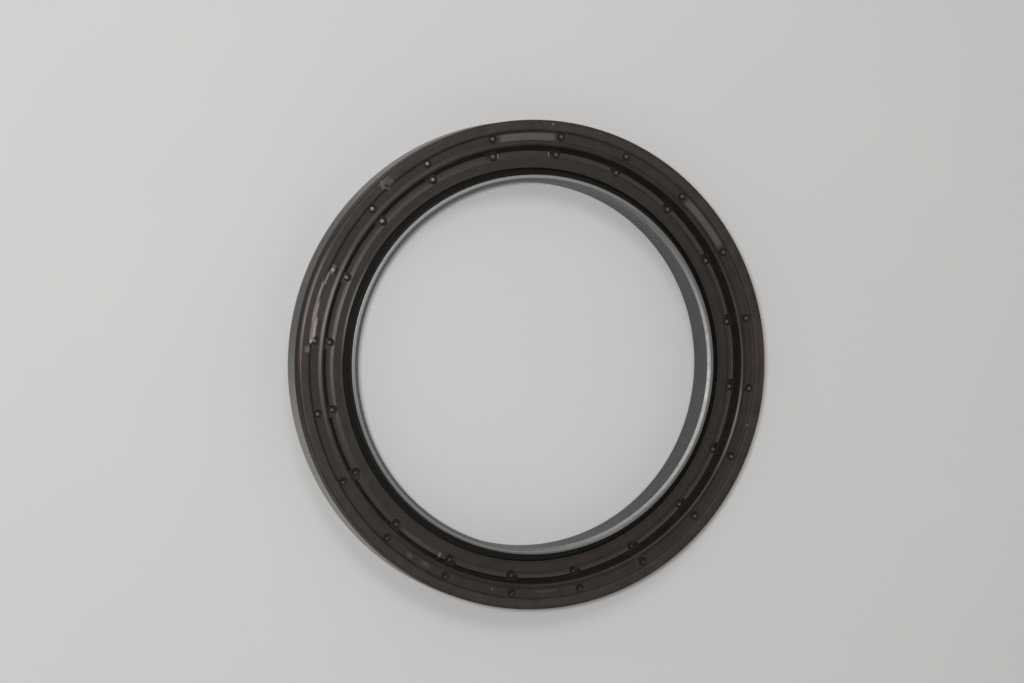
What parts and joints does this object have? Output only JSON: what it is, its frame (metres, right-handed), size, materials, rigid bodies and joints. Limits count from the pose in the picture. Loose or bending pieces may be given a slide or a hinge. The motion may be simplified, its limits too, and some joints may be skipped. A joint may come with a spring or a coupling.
{
  "type": "radial shaft seal",
  "caption": "Unitised radial shaft seal: a rubber-faced steel ring with stepped bands and mould-pin marks, a sprung lip inside, and a flanged steel wear sleeve that turns in it.",
  "frame": {"origin": "on the seal's axis, at the level of the surface that the seal lies on", "axes": "+Z along the axis, out of the stepped front face; +X through one mark of each row of mould pins"},
  "size_m": [0.16, 0.16, 0.015],
  "materials": {
    "moulded_rubber": "brown-black moulded rubber, satin, with faint mould streaks",
    "pressed_steel": "phosphated pressed steel, dull grey",
    "spring_steel": "drawn spring wire, close wound",
    "turned_steel": "fine turned and ground bare steel"
  },
  "bodies": {
    "outer_ring": {"seal_element": "moulded_rubber", "case_insert": "pressed_steel", "garter_spring": "spring_steel"},
    "sleeve": {"wear_sleeve": "turned_steel"}
  },
  "joints": [
    {"name": "sleeve_spin", "type": "hinge", "parent": "outer_ring", "child": "sleeve", "pos_m": [0, 0, 0], "axis": [0, 0, 1], "continuous": true}
  ]
}
